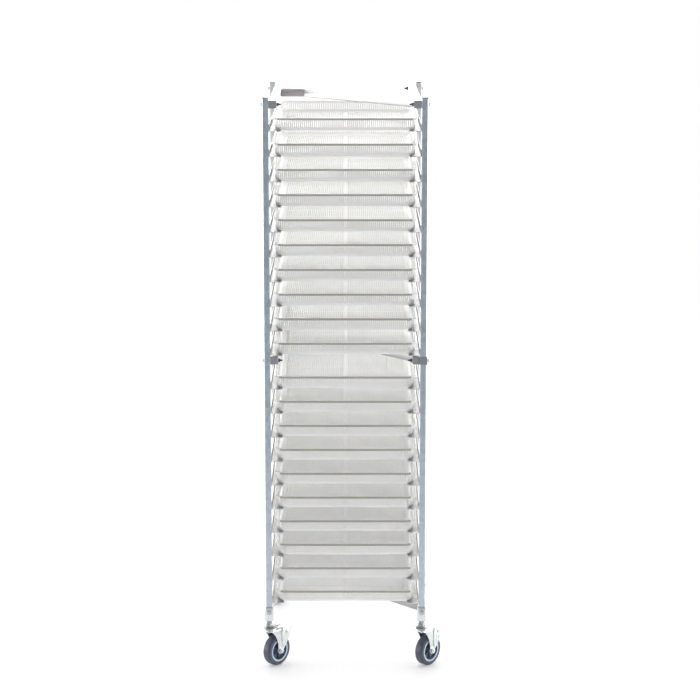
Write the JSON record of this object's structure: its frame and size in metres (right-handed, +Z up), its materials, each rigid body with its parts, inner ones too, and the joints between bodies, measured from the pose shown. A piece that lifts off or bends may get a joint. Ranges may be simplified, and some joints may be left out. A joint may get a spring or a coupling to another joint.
{
  "type": "sheet pan rack",
  "caption": "Mobile bakery rack: square steel posts on swivel casters, angle runners at even pitch, each holding a slide-out perforated tray.",
  "frame": {"origin": "middle of the whole rack's footprint, casters included, on the floor", "axes": "+X to the rack's right seen from the open front, +Y to its back, +Z up; trays pull out towards -Y"},
  "size_m": [0.6048, 0.7518, 1.865],
  "materials": {
    "cap_plastic": "moulded",
    "caster_steel": "bright zinc plate",
    "clamp_plastic": "moulded",
    "fastener_steel": "zinc plate",
    "hub_plastic": "moulded",
    "post_steel": "galvanised, dull",
    "rail_steel": "galvanised, satin",
    "runner_steel": "galvanised, bright",
    "socket_steel": "bright zinc plate",
    "stem_steel": "zinc plate, threads oiled",
    "tray_plastic": "moulded, satin",
    "tyre_rubber": "smooth tread"
  },
  "bodies": {
    "frame": {"front_left_post": "post_steel", "front_right_post": "post_steel", "rear_left_post": "post_steel", "rear_right_post": "post_steel", "top_left_rail": "rail_steel", "top_right_rail": "rail_steel", "top_brace": "rail_steel", "middle_left_rail": "rail_steel", "middle_right_rail": "rail_steel", "middle_brace": "rail_steel", "bottom_left_rail": "rail_steel", "bottom_right_rail": "rail_steel", "bottom_brace": "rail_steel", "brace_gussets": "rail_steel", "tube_end_caps": "cap_plastic", "rail_bolts": "fastener_steel", "left_runners": "runner_steel", "right_runners": "runner_steel", "runner_rivets": "fastener_steel", "post_clamp": "clamp_plastic", "caster_sockets": "socket_steel", "socket_bolts": "fastener_steel", "caster_stems": "stem_steel", "stem_nuts": "stem_steel", "swivel_races": "stem_steel"},
    "front_left_swivel": {"front_left_fork": "caster_steel"},
    "front_left_wheel": {"front_left_hub": "hub_plastic", "front_left_tyre": "tyre_rubber"},
    "front_left_brake": {"front_left_brake": "caster_steel"},
    "front_right_swivel": {"front_right_fork": "caster_steel"},
    "front_right_wheel": {"front_right_hub": "hub_plastic", "front_right_tyre": "tyre_rubber"},
    "front_right_brake": {"front_right_brake": "caster_steel"},
    "rear_left_swivel": {"rear_left_fork": "caster_steel"},
    "rear_left_wheel": {"rear_left_hub": "hub_plastic", "rear_left_tyre": "tyre_rubber"},
    "rear_right_swivel": {"rear_right_fork": "caster_steel"},
    "rear_right_wheel": {"rear_right_hub": "hub_plastic", "rear_right_tyre": "tyre_rubber"},
    "tray_01": {"tray_01": "tray_plastic"},
    "tray_02": {"tray_02": "tray_plastic"},
    "tray_03": {"tray_03": "tray_plastic"},
    "tray_04": {"tray_04": "tray_plastic"},
    "tray_05": {"tray_05": "tray_plastic"},
    "tray_06": {"tray_06": "tray_plastic"},
    "tray_07": {"tray_07": "tray_plastic"},
    "tray_08": {"tray_08": "tray_plastic"},
    "tray_09": {"tray_09": "tray_plastic"},
    "tray_10": {"tray_10": "tray_plastic"},
    "tray_11": {"tray_11": "tray_plastic"},
    "tray_12": {"tray_12": "tray_plastic"},
    "tray_13": {"tray_13": "tray_plastic"},
    "tray_14": {"tray_14": "tray_plastic"},
    "tray_15": {"tray_15": "tray_plastic"},
    "tray_16": {"tray_16": "tray_plastic"},
    "tray_17": {"tray_17": "tray_plastic"},
    "tray_18": {"tray_18": "tray_plastic"},
    "tray_19": {"tray_19": "tray_plastic"},
    "tray_20": {"tray_20": "tray_plastic"}
  },
  "joints": [
    {"name": "front_left_brake_hinge", "type": "hinge", "parent": "front_left_swivel", "child": "front_left_brake", "pos_m": [-0.23401, -0.30307, 0.112], "axis": [0.7431, -0.6691, 0], "range_deg": [0, 30]},
    {"name": "front_right_brake_hinge", "type": "hinge", "parent": "front_right_swivel", "child": "front_right_brake", "pos_m": [0.26399, -0.30307, 0.112], "axis": [0.7431, -0.6691, 0], "range_deg": [0, 30]},
    {"name": "front_left_swivel", "type": "hinge", "parent": "frame", "child": "front_left_swivel", "pos_m": [-0.27416, -0.34766, 0.125], "axis": [0, 0, 1], "continuous": true},
    {"name": "front_right_swivel", "type": "hinge", "parent": "frame", "child": "front_right_swivel", "pos_m": [0.22384, -0.34766, 0.125], "axis": [0, 0, 1], "continuous": true},
    {"name": "rear_left_swivel", "type": "hinge", "parent": "frame", "child": "rear_left_swivel", "pos_m": [-0.27416, 0.29334, 0.125], "axis": [0, 0, 1], "continuous": true},
    {"name": "rear_right_swivel", "type": "hinge", "parent": "frame", "child": "rear_right_swivel", "pos_m": [0.22384, 0.29334, 0.125], "axis": [0, 0, 1], "continuous": true},
    {"name": "front_left_wheel_spin", "type": "hinge", "parent": "front_left_swivel", "child": "front_left_wheel", "pos_m": [-0.25208, -0.32313, 0.051], "axis": [-0.7431, 0.6691, 0], "continuous": true},
    {"name": "front_right_wheel_spin", "type": "hinge", "parent": "front_right_swivel", "child": "front_right_wheel", "pos_m": [0.24592, -0.32313, 0.051], "axis": [-0.7431, 0.6691, 0], "continuous": true},
    {"name": "rear_left_wheel_spin", "type": "hinge", "parent": "rear_left_swivel", "child": "rear_left_wheel", "pos_m": [-0.26369, 0.32464, 0.051], "axis": [-0.9483, 0.3173, 0], "continuous": true},
    {"name": "rear_right_wheel_spin", "type": "hinge", "parent": "rear_right_swivel", "child": "rear_right_wheel", "pos_m": [0.23431, 0.32464, 0.051], "axis": [-0.9483, 0.3173, 0], "continuous": true},
    {"name": "tray_01_slide", "type": "slide", "parent": "frame", "child": "tray_01", "axis": [0, -1, 0], "range_m": [0, 0.66]},
    {"name": "tray_02_slide", "type": "slide", "parent": "frame", "child": "tray_02", "axis": [0, -1, 0], "range_m": [0, 0.66]},
    {"name": "tray_03_slide", "type": "slide", "parent": "frame", "child": "tray_03", "axis": [0, -1, 0], "range_m": [0, 0.66]},
    {"name": "tray_04_slide", "type": "slide", "parent": "frame", "child": "tray_04", "axis": [0, -1, 0], "range_m": [0, 0.66]},
    {"name": "tray_05_slide", "type": "slide", "parent": "frame", "child": "tray_05", "axis": [0, -1, 0], "range_m": [0, 0.66]},
    {"name": "tray_06_slide", "type": "slide", "parent": "frame", "child": "tray_06", "axis": [0, -1, 0], "range_m": [0, 0.66]},
    {"name": "tray_07_slide", "type": "slide", "parent": "frame", "child": "tray_07", "axis": [0, -1, 0], "range_m": [0, 0.66]},
    {"name": "tray_08_slide", "type": "slide", "parent": "frame", "child": "tray_08", "axis": [0, -1, 0], "range_m": [0, 0.66]},
    {"name": "tray_09_slide", "type": "slide", "parent": "frame", "child": "tray_09", "axis": [0, -1, 0], "range_m": [0, 0.66]},
    {"name": "tray_10_slide", "type": "slide", "parent": "frame", "child": "tray_10", "axis": [0, -1, 0], "range_m": [0, 0.66]},
    {"name": "tray_11_slide", "type": "slide", "parent": "frame", "child": "tray_11", "axis": [0, -1, 0], "range_m": [0, 0.66]},
    {"name": "tray_12_slide", "type": "slide", "parent": "frame", "child": "tray_12", "axis": [0, -1, 0], "range_m": [0, 0.66]},
    {"name": "tray_13_slide", "type": "slide", "parent": "frame", "child": "tray_13", "axis": [0, -1, 0], "range_m": [0, 0.66]},
    {"name": "tray_14_slide", "type": "slide", "parent": "frame", "child": "tray_14", "axis": [0, -1, 0], "range_m": [0, 0.66]},
    {"name": "tray_15_slide", "type": "slide", "parent": "frame", "child": "tray_15", "axis": [0, -1, 0], "range_m": [0, 0.66]},
    {"name": "tray_16_slide", "type": "slide", "parent": "frame", "child": "tray_16", "axis": [0, -1, 0], "range_m": [0, 0.66]},
    {"name": "tray_17_slide", "type": "slide", "parent": "frame", "child": "tray_17", "axis": [0, -1, 0], "range_m": [0, 0.66]},
    {"name": "tray_18_slide", "type": "slide", "parent": "frame", "child": "tray_18", "axis": [0, -1, 0], "range_m": [0, 0.66]},
    {"name": "tray_19_slide", "type": "slide", "parent": "frame", "child": "tray_19", "axis": [0, -1, 0], "range_m": [0, 0.66]},
    {"name": "tray_20_slide", "type": "slide", "parent": "frame", "child": "tray_20", "axis": [0, -1, 0], "range_m": [0, 0.66]}
  ]
}
